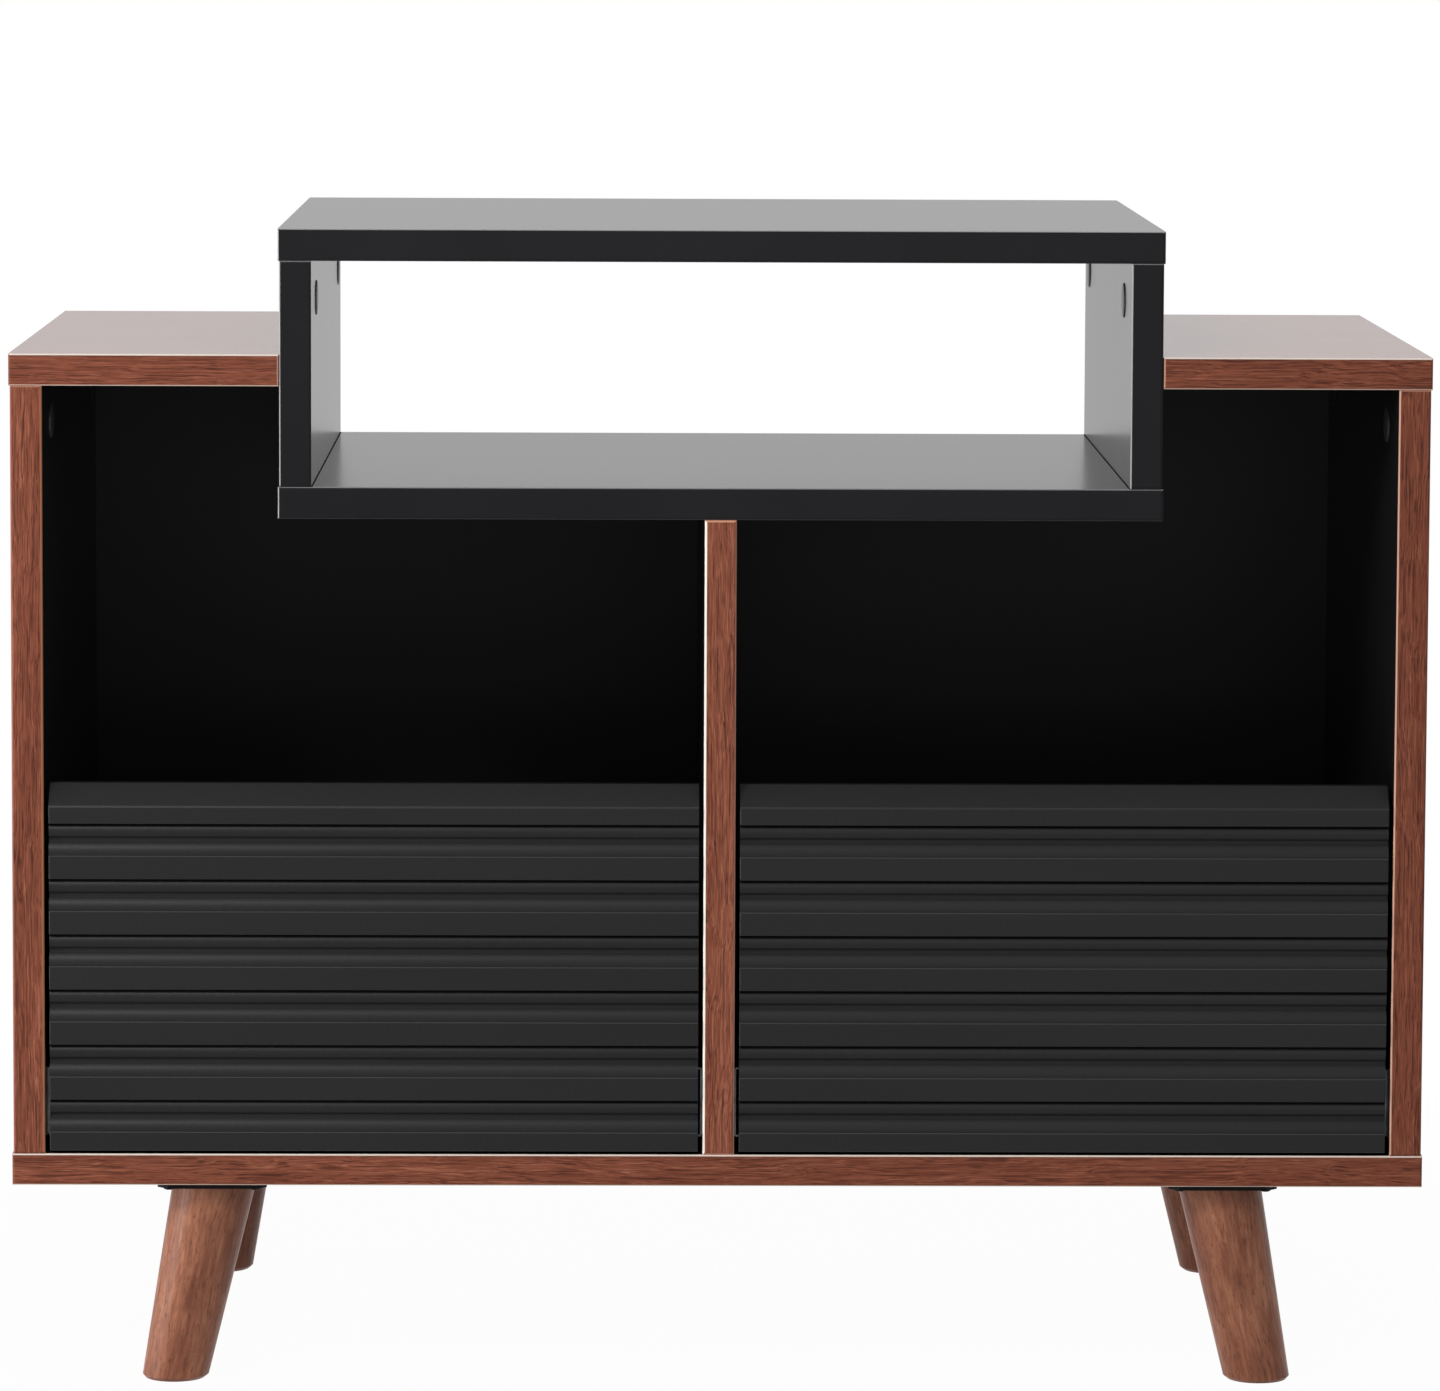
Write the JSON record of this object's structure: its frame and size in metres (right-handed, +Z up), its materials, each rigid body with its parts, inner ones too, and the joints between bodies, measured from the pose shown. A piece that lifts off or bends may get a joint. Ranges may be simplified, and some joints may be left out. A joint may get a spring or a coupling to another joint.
{
  "type": "record cabinet",
  "caption": "Low walnut and black media cabinet: an open black riser between two top boards, over two drawers with ribbed fronts, on splayed tapered legs.",
  "frame": {"origin": "on the floor, under the middle of the cabinet", "axes": "+X to the cabinet's right as seen from the front, -Y out of the front, +Z up"},
  "size_m": [0.8, 0.4, 0.66],
  "materials": {
    "walnut_board": "satin laminate with a walnut print, black inside",
    "black_board": "satin black laminate",
    "back_board": "thin hardboard, matt black",
    "leg_wood": "stained solid wood, satin",
    "black_steel": "black powder coat",
    "zinc": "zinc plated",
    "cap_plastic": "matt black",
    "dowel_wood": "plain beech",
    "runner_steel": "bright zinc plate",
    "cage_steel": "plain steel strip",
    "ribbed_front": "matt black foil over routed board",
    "drawer_board": "satin black laminate"
  },
  "bodies": {
    "cabinet": {"back_panel": "back_board", "bottom_panel": "walnut_board", "cam_bolts": "zinc", "cam_caps": "cap_plastic", "cam_locks": "zinc", "carcass_screws": "zinc", "centre_divider": "walnut_board", "dowels": "dowel_wood", "left_bay_left_cabinet_member": "runner_steel", "left_bay_right_cabinet_member": "runner_steel", "left_side_panel": "walnut_board", "left_top_board": "walnut_board", "leg_bolts": "zinc", "leg_plates": "black_steel", "legs": "leg_wood", "right_bay_left_cabinet_member": "runner_steel", "right_bay_right_cabinet_member": "runner_steel", "right_side_panel": "walnut_board", "right_top_board": "walnut_board", "riser_floor": "black_board", "riser_left_side": "black_board", "riser_right_side": "black_board", "riser_top": "black_board"},
    "left_drawer": {"left_drawer_back": "drawer_board", "left_drawer_bottom": "drawer_board", "left_drawer_dowels": "dowel_wood", "left_drawer_front": "ribbed_front", "left_drawer_left_side": "drawer_board", "left_drawer_right_side": "drawer_board", "left_bay_left_drawer_member": "runner_steel", "left_bay_right_drawer_member": "runner_steel"},
    "right_drawer": {"right_drawer_back": "drawer_board", "right_drawer_bottom": "drawer_board", "right_drawer_dowels": "dowel_wood", "right_drawer_front": "ribbed_front", "right_drawer_left_side": "drawer_board", "right_drawer_right_side": "drawer_board", "right_bay_left_drawer_member": "runner_steel", "right_bay_right_drawer_member": "runner_steel"},
    "left_bay_left_middle_member_body": {"left_bay_left_middle_member": "runner_steel"},
    "left_bay_right_middle_member_body": {"left_bay_right_middle_member": "runner_steel"},
    "right_bay_left_middle_member_body": {"right_bay_left_middle_member": "runner_steel"},
    "right_bay_right_middle_member_body": {"right_bay_right_middle_member": "runner_steel"},
    "left_bay_inner_ball_cages_body": {"left_bay_inner_ball_cages": "cage_steel"},
    "left_bay_outer_ball_cages_body": {"left_bay_outer_ball_cages": "cage_steel"},
    "right_bay_inner_ball_cages_body": {"right_bay_inner_ball_cages": "cage_steel"},
    "right_bay_outer_ball_cages_body": {"right_bay_outer_ball_cages": "cage_steel"}
  },
  "joints": [
    {"name": "left_drawer_slide", "type": "slide", "parent": "cabinet", "child": "left_drawer", "axis": [0, -1, 0], "range_m": [0, 0.35]},
    {"name": "right_drawer_slide", "type": "slide", "parent": "cabinet", "child": "right_drawer", "axis": [0, -1, 0], "range_m": [0, 0.35]},
    {"name": "left_bay_left_middle_member_slide", "type": "slide", "parent": "cabinet", "child": "left_bay_left_middle_member_body", "axis": [0, -1, 0], "range_m": [0, 0.175]},
    {"name": "left_bay_right_middle_member_slide", "type": "slide", "parent": "cabinet", "child": "left_bay_right_middle_member_body", "axis": [0, -1, 0], "range_m": [0, 0.175]},
    {"name": "right_bay_left_middle_member_slide", "type": "slide", "parent": "cabinet", "child": "right_bay_left_middle_member_body", "axis": [0, -1, 0], "range_m": [0, 0.175]},
    {"name": "right_bay_right_middle_member_slide", "type": "slide", "parent": "cabinet", "child": "right_bay_right_middle_member_body", "axis": [0, -1, 0], "range_m": [0, 0.175]},
    {"name": "left_bay_inner_ball_cages_slide", "type": "slide", "parent": "cabinet", "child": "left_bay_inner_ball_cages_body", "axis": [0, -1, 0], "range_m": [0, 0.2625]},
    {"name": "left_bay_outer_ball_cages_slide", "type": "slide", "parent": "cabinet", "child": "left_bay_outer_ball_cages_body", "axis": [0, -1, 0], "range_m": [0, 0.0875]},
    {"name": "right_bay_inner_ball_cages_slide", "type": "slide", "parent": "cabinet", "child": "right_bay_inner_ball_cages_body", "axis": [0, -1, 0], "range_m": [0, 0.2625]},
    {"name": "right_bay_outer_ball_cages_slide", "type": "slide", "parent": "cabinet", "child": "right_bay_outer_ball_cages_body", "axis": [0, -1, 0], "range_m": [0, 0.0875]}
  ],
  "couplings": [
    {"joint": "left_bay_left_middle_member_slide", "follows": "left_drawer_slide", "ratio": 0.5},
    {"joint": "left_bay_right_middle_member_slide", "follows": "left_drawer_slide", "ratio": 0.5},
    {"joint": "right_bay_left_middle_member_slide", "follows": "right_drawer_slide", "ratio": 0.5},
    {"joint": "right_bay_right_middle_member_slide", "follows": "right_drawer_slide", "ratio": 0.5},
    {"joint": "left_bay_inner_ball_cages_slide", "follows": "left_drawer_slide", "ratio": 0.75},
    {"joint": "left_bay_outer_ball_cages_slide", "follows": "left_drawer_slide", "ratio": 0.25},
    {"joint": "right_bay_inner_ball_cages_slide", "follows": "right_drawer_slide", "ratio": 0.75},
    {"joint": "right_bay_outer_ball_cages_slide", "follows": "right_drawer_slide", "ratio": 0.25}
  ]
}
